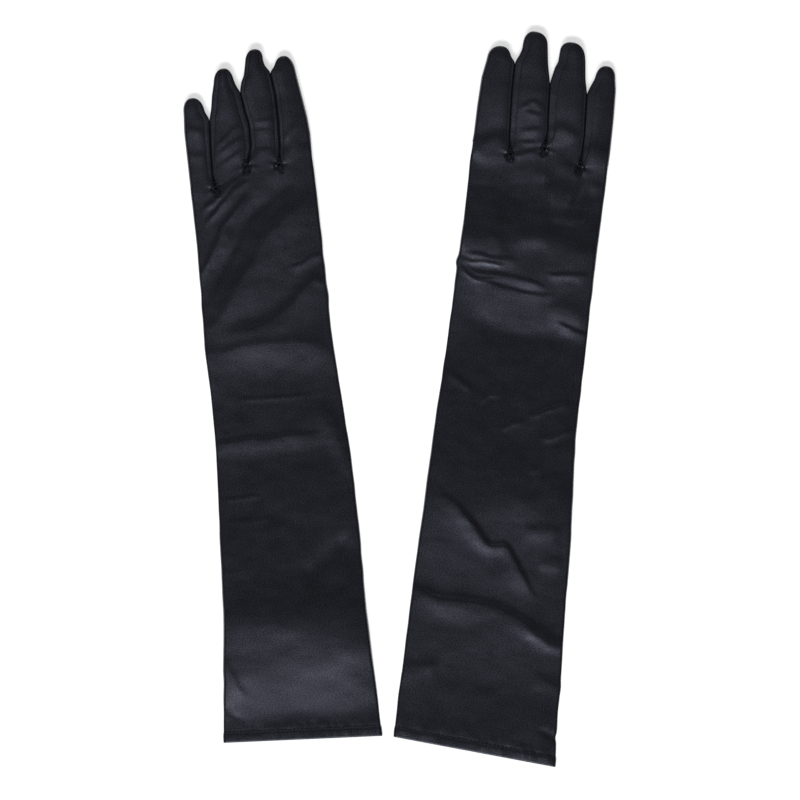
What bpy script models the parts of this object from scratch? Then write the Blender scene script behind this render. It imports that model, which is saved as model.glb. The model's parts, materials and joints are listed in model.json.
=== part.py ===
"""A pair of opera gloves lying flat, backs up, with the thumbs folded under the palms.

Each glove is one long trank of stretch satin, folded at the index side and sewn at the
little-finger side, with fourchettes between the fingers, a set-in thumb and a turned hem.
The trank is cut into panels where the cloth folds: elbow, wrist, and base of each finger.

A glove is laid out in its own frame: u runs across the arm towards the index finger,
v along the arm from the cuff to the fingertips, and z up from the surface it lies on.
"""
import math

import bmesh
import bpy
from mathutils import Matrix, Vector

MM = 0.001               # everything below is in millimetres until a mesh is written

CLOTH = 0.7              # thickness of a panel of doubled satin
GAP = 0.3                # clearance between panels that are sewn to each other
TOP = 8.9                # height of the sleeve and of the back of the hand
FINGER_TOP = 6.4         # height of a finger at its tip
PALM_LIFT = 2.8          # height of the palm over the thumb that is folded under it
THUMB_TOP = 2.5          # height of the folded thumb
THUMB_CLOTH = 0.6        # thickness of a thumb panel
HINGE_Z = TOP + 0.15     # folds turn about the upper face, so that nothing is pinched
HEM_DEPTH = 8.2          # width of the turned hem along the arm
HEM_CLOTH = 1.1          # thickness of the hem, which is turned once
STITCH = 0.5             # thickness of the hem's stitching thread
ELBOW = 95.0             # distance from the cuff to the elbow fold
TIP_STEPS = 5            # straight pieces in half of a rounded fingertip
TIP_END = math.radians(84)

LEFT = {
    "name": "left",
    "place": (-74.0, -258.73),       # middle of the cuff edge
    "lean": 5.0,                     # degrees, counter-clockwise from above
    "side": 1,
    "cuff": (1.2, -0.043),           # v of the cuff edge at u = 0, and its slope
    # v, then u of the little-finger edge and of the index edge
    "edges": [(0, -59.5, 60.1), (30, -57.2, 59.4), (95, -51.8, 57.0), (180, -47.8, 56.4),
              (240, -45.8, 53.4), (300, -47.6, 48.8), (340, -47.2, 48.4), (445, -48.6, 46.4)],
    "wrist": 340.0,
    "knuckle": 445.0,
    "thumb": (34.0, 378.0),          # u and v of the middle of the thumb's root
    # u of both edges at the base, u of both edges at the tip, v where the tip starts to
    # round, v of the tip
    "index": ((22.7, 46.2), (23.6, 39.0), 504.0, 517.5),
    "middle": ((0.9, 21.9), (0.7, 18.5), 511.0, 524.4),
    "ring": ((-29.9, -0.1), (-25.0, -6.5), 498.0, 511.5),
    "little": ((-48.6, -30.7), (-47.2, -33.5), 481.0, 491.8),
}

RIGHT = {
    "name": "right",
    "place": (57.1, -268.23),
    "lean": -6.0,
    "side": -1,
    "cuff": (1.1, 0.081),
    "edges": [(0, -61.2, 62.2), (30, -59.4, 62.6), (95, -57.4, 60.5), (180, -55.2, 57.9),
              (240, -51.0, 56.4), (300, -51.6, 53.6), (350, -51.7, 52.2), (466, -53.9, 50.6)],
    "wrist": 350.0,
    "knuckle": 466.0,
    "thumb": (37.0, 392.0),
    "index": ((23.7, 50.4), (28.5, 46.0), 521.0, 534.4),
    "middle": ((-4.6, 22.9), (0.6, 20.0), 535.0, 548.6),
    "ring": ((-32.3, -5.4), (-28.6, -8.2), 529.0, 543.2),
    "little": ((-53.8, -33.3), (-52.3, -36.5), 514.0, 528.2),
}

THUMB_LENGTH = 60.0      # from the middle of the root to the tip
THUMB_ROOT_HALF = 13.0   # half width at the root
THUMB_TIP_HALF = 9.5     # half width where the tip starts to round
THUMB_REST = 112.0       # degrees from u, counter-clockwise towards v: the folded thumb
THUMB_HOLE = (11.0, 13.0)    # half sizes, along u and v, of the palm's opening to the thumb

SATIN = (0.012, 0.012, 0.016, 1.0)
SATIN_SIDE = (0.009, 0.009, 0.012, 1.0)
THREAD = (0.02, 0.02, 0.025, 1.0)


def clear_scene():
    for item in list(bpy.data.objects):
        bpy.data.objects.remove(item, do_unlink=True)


def satin_material(name, color, roughness):
    material = bpy.data.materials.new(name)
    material.use_nodes = True
    shader = material.node_tree.nodes["Principled BSDF"]
    shader.inputs["Base Color"].default_value = color
    shader.inputs["Roughness"].default_value = roughness
    shader.inputs["Metallic"].default_value = 0.0
    return material


class Body:
    """An empty on a joint's axis, in the glove's frame, that carries the body's pieces."""

    def __init__(self, glove, name, origin, parent=None):
        self.glove = glove
        self.origin = origin
        self.empty = bpy.data.objects.new(glove["name"] + "_" + name + "_axis", None)
        bpy.context.scene.collection.objects.link(self.empty)
        if parent is None:
            x, y = glove["place"]
            self.empty.location = (x * MM, y * MM, 0.0)
            self.empty.rotation_euler = (0.0, 0.0, math.radians(glove["lean"]))
        else:
            self.empty.parent = parent.empty
            self.empty.location = parent.local(origin)

    def local(self, point):
        u, v, z = (point[i] - self.origin[i] for i in range(3))
        return (self.glove["side"] * u * MM, v * MM, z * MM)

    def add(self, name, points, faces, color=SATIN, roughness=0.38):
        """One closed panel, given by points (u, v, z) and faces."""
        name = self.glove["name"] + "_" + name
        mesh = bpy.data.meshes.new(name)
        mesh.from_pydata([self.local(p) for p in points], [], faces)
        work = bmesh.new()
        work.from_mesh(mesh)
        bmesh.ops.recalc_face_normals(work, faces=work.faces)
        work.to_mesh(mesh)
        work.free()
        mesh.materials.append(satin_material(name, color, roughness))
        panel = bpy.data.objects.new(name, mesh)
        bpy.context.scene.collection.objects.link(panel)
        panel.parent = self.empty
        return panel


def loft(sections):
    """A closed solid through equal loops of points, with a flat face at each end."""
    count = len(sections[0])
    points = [p for section in sections for p in section]
    faces = [tuple(range(count)), tuple(range(len(points) - count, len(points)))]
    for k in range(len(sections) - 1):
        for i in range(count):
            j = (i + 1) % count
            a = k * count
            faces.append((a + i, a + j, a + count + j, a + count + i))
    return points, faces


def ring(outer, inner):
    """A band that is open at both ends: outer and inner each hold the two end loops."""
    count = len(outer[0])
    points = outer[0] + outer[1] + inner[0] + inner[1]
    faces = []
    for i in range(count):
        j = (i + 1) % count
        corners = [[loop * count + k for k in (i, j)] for loop in range(4)]
        for a, b in ((0, 1), (1, 3), (3, 2), (2, 0)):
            faces.append((corners[a][0], corners[a][1], corners[b][1], corners[b][0]))
    return points, faces


def edges_at(glove, v):
    """u of the little-finger edge and of the index edge at a distance v from the cuff."""
    rows = glove["edges"]
    for low, high in zip(rows, rows[1:]):
        if v <= high[0]:
            break
    t = (v - low[0]) / (high[0] - low[0])
    return (low[1] + t * (high[1] - low[1]), low[2] + t * (high[2] - low[2]))


def stations(glove, start, end):
    return [start] + [row[0] for row in glove["edges"] if start < row[0] < end] + [end]


def cuff_shift(glove, u, v):
    """How far the sloping cuff edge moves a point along v: all at the cuff, none at the elbow."""
    middle, slope = glove["cuff"]
    return (middle + slope * u) * max(0.0, 1.0 - v / ELBOW)


def arm_point(glove, u, v, z):
    return (u, v + cuff_shift(glove, u, v), z)


def sleeve_tube(glove, start, end):
    """Back, index-side fold and palm side of a stretch of arm, open at the seam side."""
    sections = []
    for v in stations(glove, start, end):
        little, index = edges_at(glove, v)
        profile = [(little, 0.0), (index, 0.0), (index, TOP), (little, TOP),
                   (little, TOP - CLOTH), (index - CLOTH, TOP - CLOTH),
                   (index - CLOTH, CLOTH), (little, CLOTH)]
        sections.append([arm_point(glove, u, v, z) for u, z in profile])
    return loft(sections)


def side_wall(glove, start, end, low, high, edge):
    """The strip that closes one side; edge 0 is the seam's, edge 1 the index fold's."""
    sections = []
    inward = (CLOTH, -CLOTH)[edge]
    for v in stations(glove, start, end):
        u = edges_at(glove, v)[edge]
        profile = [(u, low), (u + inward, low), (u + inward, high), (u, high)]
        sections.append([arm_point(glove, a, v, z) for a, z in profile])
    return loft(sections)


def band(glove, start, end, outset, thickness):
    """A band all round the cuff; outset is how far it lies inside the sleeve's faces."""
    loops = []
    for inset in (outset, outset + thickness):
        pair = []
        for v in (start, end):
            little, index = edges_at(glove, v)
            corners = [(little + inset, inset), (index - inset, inset),
                       (index - inset, TOP - inset), (little + inset, TOP - inset)]
            pair.append([arm_point(glove, u, v, z) for u, z in corners])
        loops.append(pair)
    return ring(loops[0], loops[1])


def build_sleeve(glove):
    """Upper sleeve with its seam, the turned hem and the hem's stitching."""
    body = Body(glove, "sleeve", (0.0, 0.0, 0.0))
    thread_start = HEM_DEPTH + GAP
    sleeve_start = thread_start + STITCH + GAP
    end = ELBOW - GAP
    body.add("cuff_hem", *band(glove, 0.0, HEM_DEPTH, 0.0, HEM_CLOTH), roughness=0.42)
    body.add("hem_thread", *band(glove, thread_start, thread_start + STITCH, 0.1, STITCH),
             color=THREAD, roughness=0.5)
    body.add("upper_sleeve", *sleeve_tube(glove, sleeve_start, end))
    body.add("upper_seam", *side_wall(glove, sleeve_start, end, CLOTH + GAP,
                                      TOP - CLOTH - GAP, 0), color=SATIN_SIDE)
    return body


def build_forearm(glove, sleeve):
    body = Body(glove, "forearm", (0.0, ELBOW, HINGE_Z), sleeve)
    start = ELBOW + GAP
    end = glove["wrist"] - GAP
    body.add("forearm_sleeve", *sleeve_tube(glove, start, end))
    body.add("forearm_seam", *side_wall(glove, start, end, CLOTH + GAP,
                                        TOP - CLOTH - GAP, 0), color=SATIN_SIDE)
    return body


def build_hand(glove, forearm):
    """Back, palm with the opening to the thumb, index-side fold and outer seam."""
    wrist = glove["wrist"]
    body = Body(glove, "hand", (0.0, wrist, HINGE_Z), forearm)
    start = wrist + GAP
    end = glove["knuckle"] - GAP

    def across(profile):
        sections = []
        for edge in (0, 1):
            sections.append([(edges_at(glove, v)[edge], v, z) for v, z in profile])
        return loft(sections)

    body.add("hand_back", *across([(start, TOP - CLOTH), (start, TOP),
                                   (end, TOP), (end, TOP - CLOTH)]))
    roof = PALM_LIFT + CLOTH
    # the palm steps down to the surface at the wrist and at the finger bases
    palm = body.add("hand_palm", *across([
        (start, 0.0), (start, roof), (end, roof), (end, 0.0),
        (end - CLOTH, 0.0), (end - CLOTH, PALM_LIFT),
        (start + CLOTH, PALM_LIFT), (start + CLOTH, 0.0)]))
    cut_thumb_hole(glove, body, palm)
    low = roof + GAP
    high = TOP - CLOTH - GAP
    body.add("hand_fold", *side_wall(glove, start, end, low, high, 1))
    body.add("hand_seam", *side_wall(glove, start, end, low, high, 0), color=SATIN_SIDE)
    return body


def cut_thumb_hole(glove, body, palm):
    """An oval opening through the palm, which leads into the thumb."""
    u0, v0 = glove["thumb"]
    sides = 20
    loops = []
    for z in (PALM_LIFT - 1.0, PALM_LIFT + CLOTH + 1.0):
        turns = [2 * math.pi * i / sides for i in range(sides)]
        loops.append([(u0 + THUMB_HOLE[0] * math.cos(a), v0 + THUMB_HOLE[1] * math.sin(a), z)
                      for a in turns])
    cutter = body.add("thumb_hole_cutter", *loft(loops))
    cutter.hide_render = True
    cutter.display_type = "WIRE"
    cut = palm.modifiers.new("thumb_hole", "BOOLEAN")
    cut.operation = "DIFFERENCE"
    cut.object = cutter


def tapered_plan(start, tip_start, tip, base_pair, tip_pair):
    """Rows (v, low u, high u) of a finger: straight sides, then a rounded tip."""
    rows = [(start, base_pair[0], base_pair[1]), (tip_start, tip_pair[0], tip_pair[1])]
    middle = (tip_pair[0] + tip_pair[1]) / 2
    half = (tip_pair[1] - tip_pair[0]) / 2
    for k in range(1, TIP_STEPS + 1):
        a = TIP_END * k / TIP_STEPS
        rows.append((tip_start + (tip - tip_start) * math.sin(a),
                     middle - half * math.cos(a), middle + half * math.cos(a)))
    return rows


def strip(rows, low_of, high_of):
    """A flat panel over the rows, between two heights that may change along v."""
    sections = []
    for v, a, b in rows:
        low, high = low_of(v), high_of(v)
        sections.append([(a, v, low), (b, v, low), (b, v, high), (a, v, high)])
    return loft(sections)


def rim(rows, column, low_of, high_of, thickness):
    """An upright strip along one edge of the rows and half-way round the tip."""
    sign = (1.0, -1.0)[column - 1]
    path = [(row[column], row[0]) for row in rows]
    sections = []
    for k, (u, v) in enumerate(path):
        before = path[max(k - 1, 0)]
        after = path[min(k + 1, len(path) - 1)]
        du, dv = after[0] - before[0], after[1] - before[1]
        length = math.hypot(du, dv)
        inner_u = u + sign * dv / length * thickness
        inner_v = v - sign * du / length * thickness
        low, high = low_of(v), high_of(v)
        sections.append([(u, v, low), (inner_u, inner_v, low),
                         (inner_u, inner_v, high), (u, v, high)])
    return loft(sections)


FINGER_SIDES = {
    "index": ("fourchette", "fold"),
    "middle": ("fourchette_ring_side", "fourchette_index_side"),
    "ring": ("fourchette_little_side", "fourchette_middle_side"),
    "little": ("seam", "fourchette"),
}


def build_finger(glove, name, hand):
    """Back and front strips of a finger, and the two side strips between them."""
    base_pair, tip_pair, tip_start, tip = glove[name]
    knuckle = glove["knuckle"]
    middle = (base_pair[0] + base_pair[1]) / 2
    body = Body(glove, name, (middle, knuckle, HINGE_Z), hand)
    rows = tapered_plan(knuckle + GAP, tip_start, tip, base_pair, tip_pair)

    def top(v):
        t = min(1.0, (v - knuckle) / (tip_start - knuckle))
        return TOP + (FINGER_TOP - TOP) * t

    body.add(name + "_back", *strip(rows, lambda v: top(v) - CLOTH, top))
    body.add(name + "_front", *strip(rows, lambda v: 0.0, lambda v: CLOTH))
    for column, side_name in enumerate(FINGER_SIDES[name], start=1):
        body.add(name + "_" + side_name,
                 *rim(rows, column, lambda v: CLOTH + GAP,
                      lambda v: top(v) - CLOTH - GAP, CLOTH),
                 color=SATIN_SIDE)
    return body


def build_thumb(glove, hand):
    """The thumb, pressed flat and folded under the palm, on an upright axis at its root."""
    u0, v0 = glove["thumb"]
    body = Body(glove, "thumb", (u0, v0, THUMB_TOP), hand)
    turn = Matrix.Rotation(math.radians(THUMB_REST - 90.0), 2)

    def placed(solid):
        points, faces = solid
        moved = []
        for u, v, z in points:
            a, b = turn @ Vector((u, v))
            moved.append((u0 + a, v0 + b, z))
        return moved, faces

    root = THUMB_ROOT_HALF
    tip_start = THUMB_LENGTH - THUMB_TIP_HALF
    shaft = tapered_plan(root + 1.0, tip_start, THUMB_LENGTH, (-root, root),
                         (-THUMB_TIP_HALF, THUMB_TIP_HALF))
    heel = []
    for k in range(TIP_STEPS, 0, -1):
        a = TIP_END * k / TIP_STEPS
        heel.append((-root * math.sin(a), -root * math.cos(a), root * math.cos(a)))
    low_cloth = THUMB_CLOTH
    high_cloth = THUMB_TOP - THUMB_CLOTH
    body.add("thumb_front", *placed(strip(heel + [(0.0, -root, root)] + shaft,
                                          lambda v: 0.0, lambda v: low_cloth)))
    body.add("thumb_back", *placed(strip(shaft, lambda v: high_cloth, lambda v: THUMB_TOP)))
    body.add("thumb_seam", *placed(rim(shaft, 1, lambda v: low_cloth + GAP,
                                       lambda v: high_cloth - GAP, CLOTH)),
             color=SATIN_SIDE)
    return body


def build_glove(glove):
    sleeve = build_sleeve(glove)
    forearm = build_forearm(glove, sleeve)
    hand = build_hand(glove, forearm)
    build_thumb(glove, hand)
    for name in FINGER_SIDES:
        build_finger(glove, name, hand)


def main():
    clear_scene()
    build_glove(LEFT)
    build_glove(RIGHT)


main()
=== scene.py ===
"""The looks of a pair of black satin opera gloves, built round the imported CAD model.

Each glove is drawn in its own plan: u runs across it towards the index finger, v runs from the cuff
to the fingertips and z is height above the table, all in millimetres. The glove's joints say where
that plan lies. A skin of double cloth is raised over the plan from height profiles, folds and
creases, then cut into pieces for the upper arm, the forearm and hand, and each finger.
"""

import json
import math
from dataclasses import dataclass, field

import bpy
import numpy as np
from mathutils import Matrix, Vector


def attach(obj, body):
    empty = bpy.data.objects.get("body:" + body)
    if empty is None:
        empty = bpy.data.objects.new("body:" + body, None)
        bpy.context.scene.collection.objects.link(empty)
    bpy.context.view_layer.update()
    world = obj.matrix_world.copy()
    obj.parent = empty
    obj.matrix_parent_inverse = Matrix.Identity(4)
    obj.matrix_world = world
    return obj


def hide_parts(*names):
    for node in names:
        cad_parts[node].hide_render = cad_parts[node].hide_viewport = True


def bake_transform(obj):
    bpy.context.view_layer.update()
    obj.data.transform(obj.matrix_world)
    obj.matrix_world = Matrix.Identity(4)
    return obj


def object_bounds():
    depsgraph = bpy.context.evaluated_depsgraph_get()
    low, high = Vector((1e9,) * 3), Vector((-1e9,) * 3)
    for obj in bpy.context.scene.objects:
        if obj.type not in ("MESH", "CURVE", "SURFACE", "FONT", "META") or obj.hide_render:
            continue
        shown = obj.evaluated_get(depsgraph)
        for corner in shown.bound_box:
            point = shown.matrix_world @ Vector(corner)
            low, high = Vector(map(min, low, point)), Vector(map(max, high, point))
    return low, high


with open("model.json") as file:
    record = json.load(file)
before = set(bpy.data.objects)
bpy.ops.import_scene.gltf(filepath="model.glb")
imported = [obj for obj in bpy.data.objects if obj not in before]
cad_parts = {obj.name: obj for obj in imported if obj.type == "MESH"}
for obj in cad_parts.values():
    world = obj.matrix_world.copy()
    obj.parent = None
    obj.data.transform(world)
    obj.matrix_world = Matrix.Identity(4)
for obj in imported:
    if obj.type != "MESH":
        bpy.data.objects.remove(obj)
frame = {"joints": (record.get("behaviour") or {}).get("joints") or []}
cad_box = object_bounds()

MM = 0.001

# ---- sizes, in millimetres ------------------------------------------------------------------
ROW_STEP = 0.85                 # between the rows of a grid, along the glove
MIDDLE_COLUMNS = 9              # steps across a finger between its two sides
FINGER_OVERLAP = 0.08           # how far a finger reaches past the line it shares with the next
UV_PER_MM = 0.01

# the outline
LITTLE_EDGE_OUT = 0.25          # how far the cloth stands outside the listed edges
INDEX_EDGE_OUT = 0.35
WANDER = 0.28
EDGE_REACH = 1.5                # the tight fold along an outer edge
EDGE_RISE = 26.0                # the slow rise inside that fold
EDGE_LIP = 0.78                 # the share of the height that the tight fold takes
SIDE_STEPS = (0.0, 0.12, 0.45, 1.0, 1.8, 2.9, 4.3)

# the sleeve and its hem
ELBOW_FROM_CUFF = 95.0
HEM_DEPTH = 8.2
CUFF_DROP = 1.25
TUCK_UNDER_HEM = 2.7            # how far the sleeve's cloth runs in under the hem
TUCK_RUN = 1.5

# heights above the table
SLEEVE_EDGE_Z = 1.1
HAND_EDGE_Z = 1.5
UNDERSIDE_Z = 0.3
LEAST_CLOTH = 0.7               # from the under cloth to the top cloth
LEAST_RISE = 0.6                # from the outline's height to the top cloth
FOLD_DEPTH = 0.62               # the share of its listed height that a fold is given
SLOW_RIPPLE, MIDDLE_RIPPLE, QUICK_RIPPLE = 0.3, 0.08, 0.018
CRUMPLE_BEFORE_KNUCKLE = 55.0   # where the back of the hand is most crumpled
CRUMPLE_RUN = 28.0
TIP_LIFT = 4.6                  # how far the fingers rise off the table
LIFT_BEFORE_KNUCKLE = 12.0
LIFT_RUN = 103.0
LIFT_SOFTNESS = 0.03

# the fingers
CROTCH_REACH = 1.7
CROTCH_RUN = 12.0               # from a crotch to where the fourchettes are at their full width
LEAST_STRIP = 1.4               # a strip this narrow is a plain fold
SIDE_FOLD = 0.38                # the tight fold along a side between two fingers
PLAIN_SIDE = 2.6                # the rounded outer side of the little or the index finger
SEAM_GROOVE = 0.09
GROOVE_WIDTH = 0.4

# the thumb, with its turns in degrees
THUMB_LIFT = 3.0                # how far the hand lies above it
THUMB_LENGTH = 60.0
THUMB_TURN = 112.0
THUMB_SWINGS = (0.0, 18.0, 36.0, 54.0, 70.0)
THUMB_ROOT_HALF = 13.0
THUMB_TIP_HALF = 9.5
THUMB_Z = 1.5
THUMB_HALF_THICK = 1.15
THUMB_CLEAR = 14.5              # the hand is at its full lift this near to the thumb's middle line
THUMB_CLEAR_RUN = 9.0

TOP, UNDER = 0, 1               # the two faces of a glove
STRIP_MATERIAL = 1              # the material slot of the strips between the fingers


# ---- the two gloves --------------------------------------------------------------------------
@dataclass
class Side:
    """One long side of a finger: its outline as (v, u) points, and the width of the fourchette
    that shows along it near the crotch and near the tip."""

    line: list
    strip: tuple = (0.0, 0.0)
    outer: bool = False


@dataclass
class Finger:
    """A finger's two sides, the (u, v) of its tip and the v from which it rounds in to the tip."""

    name: str
    little_side: Side
    index_side: Side
    tip: tuple
    round_from: float


@dataclass
class Fold:
    """A crest (or, with a negative height, a valley) along a path of (u, v) points. The cloth
    falls off over `above` mm on the side of greater v and over `below` mm on the other."""

    path: list
    height: float
    above: float
    below: float


@dataclass
class Glove:
    """One glove. `side` is 1 for the left and -1 for the right; `cuff` is the v and the slope of the
    cuff's edge; `edges` lists (v, u at the little side, u at the index side) and `profile` the
    heights of the top cloth in the same way; `base` is the (u, v) line through the crotches;
    `split`, `knuckle` and `wrist` are places along v; `thumb` is the (u, v) of its joint; `pinches`
    lists (edge, v, mm outward, width); `crumple` is the extra unevenness of the back of the hand."""

    name: str
    side: int
    cuff: tuple
    edges: list
    profile: list
    base: list
    fingers: list
    folds: list
    split: float
    knuckle: float
    wrist: float
    thumb: tuple
    seed: int
    pinches: list
    crumple: float = 0.0
    places: dict = field(default_factory=dict)


LEFT_FOLDS = [
    # the fan that spreads from the crotch of the ring and middle fingers
    Fold([(-8, 430), (-20, 423), (-31, 414), (-43, 403)], 0.95, 2.0, 4.4),
    Fold([(-3, 426), (-15, 420), (-28, 407), (-40, 393)], 1.15, 2.0, 3.6),
    Fold([(0, 417), (-12, 408), (-21, 396), (-32, 379), (-50, 350)], 1.1, 2.4, 5.0),
    Fold([(34, 426), (15, 414), (0, 403), (-10, 393), (-20, 378), (-34, 355), (-56, 326)],
         -1.2, 7.5, 5.0),
    # the two long diagonals over the back of the hand
    Fold([(52, 414), (14, 387), (-1, 370), (-24, 337), (-50, 306)], 2.2, 8.0, 16.0),
    Fold([(50, 357), (19, 326), (0, 315), (-18, 311), (-34, 312)], 1.7, 5.5, 13.0),
    # the wrist
    Fold([(-66, 294), (-20, 299), (17, 301), (38, 296), (66, 280)], 0.85, 5.0, 15.0),
    Fold([(54, 368), (38, 364), (30, 359), (20, 355)], 0.55, 1.4, 5.0),
    Fold([(54, 344), (36, 347)], 0.7, 3.0, 5.0),
    # the forearm
    Fold([(-60, 228), (-20, 229), (7, 230), (36, 230)], 1.1, 2.8, 9.0),
    Fold([(-30, 260), (0, 261), (30, 259)], 0.35, 1.5, 2.6),
    Fold([(34, 256), (42, 235), (50, 214), (58, 190)], 1.3, 6.5, 8.0),
    Fold([(-44, 275), (-38, 275)], 0.6, 3.0, 4.0),
    Fold([(-44, 253), (-37, 254)], 0.6, 3.0, 4.0),
    # the upper arm
    Fold([(-47, 186), (-14, 186)], 0.3, 1.5, 3.0),
    Fold([(-47, 169), (-5, 170)], 0.3, 1.5, 3.0),
    Fold([(54, 151), (33, 136), (7, 117)], -1.6, 8.0, 10.0),
    Fold([(-62, 74), (-49, 52), (-40, 32)], 0.6, 3.0, 12.0),
    Fold([(-66, 36), (-44, 16)], -0.4, 4.0, 2.5),
    # creases across the fingers
    Fold([(24, 448), (46, 478)], 0.5, 3.0, 6.5),
    Fold([(24, 438), (47, 462)], 0.45, 3.0, 6.5),
    Fold([(1, 470), (21, 469)], 0.25, 1.2, 5.0),
    Fold([(1, 463), (21, 462)], 0.22, 1.2, 4.0),
    Fold([(2, 450), (17, 449)], 0.3, 1.2, 4.0),
    Fold([(-24, 452), (-7, 470)], 0.45, 1.4, 3.6),
    Fold([(-23, 447), (-5, 461)], 0.4, 1.4, 3.6),
    Fold([(-23, 438), (-6, 451)], 0.4, 1.4, 3.6),
    Fold([(-50, 470), (-32, 464)], 0.45, 3.0, 5.5),
    Fold([(-52, 451), (-33, 446)], 0.45, 3.0, 5.5),
]

RIGHT_FOLDS = [
    # the back of the hand
    Fold([(54, 431), (31, 428), (14, 421), (0, 414)], -1.0, 13.0, 4.5),
    Fold([(-6, 428), (-20, 430), (-33, 426)], 1.9, 10.0, 14.0),
    Fold([(-10, 452), (-22, 449), (-36, 441)], 1.0, 9.0, 7.0),
    Fold([(-41, 434), (-52, 436)], 0.7, 4.0, 9.0),
    Fold([(46, 421), (34, 414), (20, 408)], 0.9, 5.0, 9.0),
    Fold([(-38, 405), (-20, 411), (-6, 408)], 0.8, 7.0, 5.0),
    Fold([(56, 393), (36, 388), (18, 394)], 1.2, 12.0, 14.0),
    Fold([(12, 387), (-1, 392), (-12, 393), (-28, 388)], 1.1, 12.0, 10.0),
    # the gather that starts at the index side of the wrist
    Fold([(51, 375), (35, 375), (17, 375), (4, 373)], 0.55, 1.4, 5.5),
    Fold([(50, 369), (38, 362), (9, 361), (-8, 359), (-19, 355)], 0.8, 1.6, 6.0),
    Fold([(50, 366), (40, 357), (19, 352), (-10, 350), (-28, 351)], 0.65, 1.6, 8.0),
    Fold([(53, 372), (42, 369), (28, 371), (15, 369)], 0.5, 1.2, 2.4),
    Fold([(53, 367), (44, 361), (34, 357), (20, 357)], 0.5, 1.2, 2.4),
    Fold([(-17, 367), (-34, 367), (-50, 367)], 0.7, 1.5, 4.0),
    Fold([(-20, 341), (-36, 339), (-52, 336)], 0.8, 6.0, 9.0),
    Fold([(-28, 329), (-40, 326), (-53, 322)], 0.85, 1.8, 6.0),
    Fold([(51, 342), (33, 328), (11, 321), (-24, 319), (-52, 320)], -0.9, 10.0, 8.0),
    # the forearm
    Fold([(53, 287), (42, 281), (31, 272)], 0.6, 2.0, 3.2),
    Fold([(25, 263), (18, 271), (7, 273)], 0.6, 1.8, 3.0),
    Fold([(-12, 257), (-30, 265), (-47, 271)], 0.7, 1.8, 3.2),
    Fold([(6, 244), (-1, 249), (-11, 253)], 0.6, 1.8, 3.0),
    Fold([(-24, 242), (-33, 244), (-41, 248), (-50, 251)], 0.7, 1.8, 3.2),
    Fold([(-17, 214), (-29, 224)], 0.6, 2.0, 3.4),
    # the upper arm
    Fold([(52, 198), (31, 182), (17, 167), (6, 156), (-5, 157), (-15, 146), (-24, 133), (-32, 121)],
         1.5, 2.2, 8.0),
    Fold([(-16, 170), (-48, 173)], 0.8, 6.0, 9.0),
    Fold([(-33, 146), (-54, 150)], 0.6, 5.0, 5.0),
    Fold([(78, 123), (41, 114), (20, 112), (0, 110), (-20, 104), (-40, 95), (-62, 86), (-84, 80)],
         1.8, 3.6, 11.0),
    Fold([(66, 58), (32, 60)], 0.9, 6.0, 10.0),
    Fold([(-36, 62), (-66, 53)], 0.7, 3.5, 7.0),
    Fold([(-24, 100), (-46, 89), (-74, 79)], 0.5, 2.5, 4.5),
    Fold([(-46, 24), (-66, 14)], -0.6, 3.0, 3.0),
    # creases across the fingers
    Fold([(50, 449), (38, 460), (24, 468)], 1.1, 5.0, 10.0),
    Fold([(18, 486), (9, 495), (-2, 489)], 0.55, 1.4, 4.2),
    Fold([(15, 485), (-1, 486)], 0.4, 1.3, 3.4),
    Fold([(18, 473), (-2, 475)], 0.5, 1.8, 4.6),
    Fold([(17, 464), (0, 465)], 0.45, 1.5, 3.4),
    Fold([(20, 449), (8, 456), (-5, 455)], 0.6, 1.8, 4.0),
    Fold([(-5, 470), (-16, 477), (-28, 471)], 0.8, 4.0, 9.0),
    Fold([(-34, 463), (-62, 457)], 1.5, 9.0, 10.0),
]

# where two neighbouring fingers touch, from their crotch to where they part, as (v, u) points
LEFT_LITTLE_RING = [(422, -28.8), (432, -30.4), (456, -30), (475, -29.1)]
LEFT_RING_MIDDLE = [(437, -4.4), (443, -2), (452, 0.4), (468, 0.4), (479, -1.9), (494, -4.2)]
LEFT_MIDDLE_INDEX = [(436, 20.5), (449, 22.2), (469, 22.8), (489, 22.2), (507, 19.9)]
RIGHT_LITTLE_RING = [(449, -32.7), (474, -33.7), (486, -33.1), (506, -32.3)]
RIGHT_RING_MIDDLE = [(461, -4.5), (475, -5.6), (494, -4.3), (511, -3.5)]
RIGHT_MIDDLE_INDEX = [(454, 21), (470, 23.1), (480, 23.6), (502, 24.5), (524, 24.4)]

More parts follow.
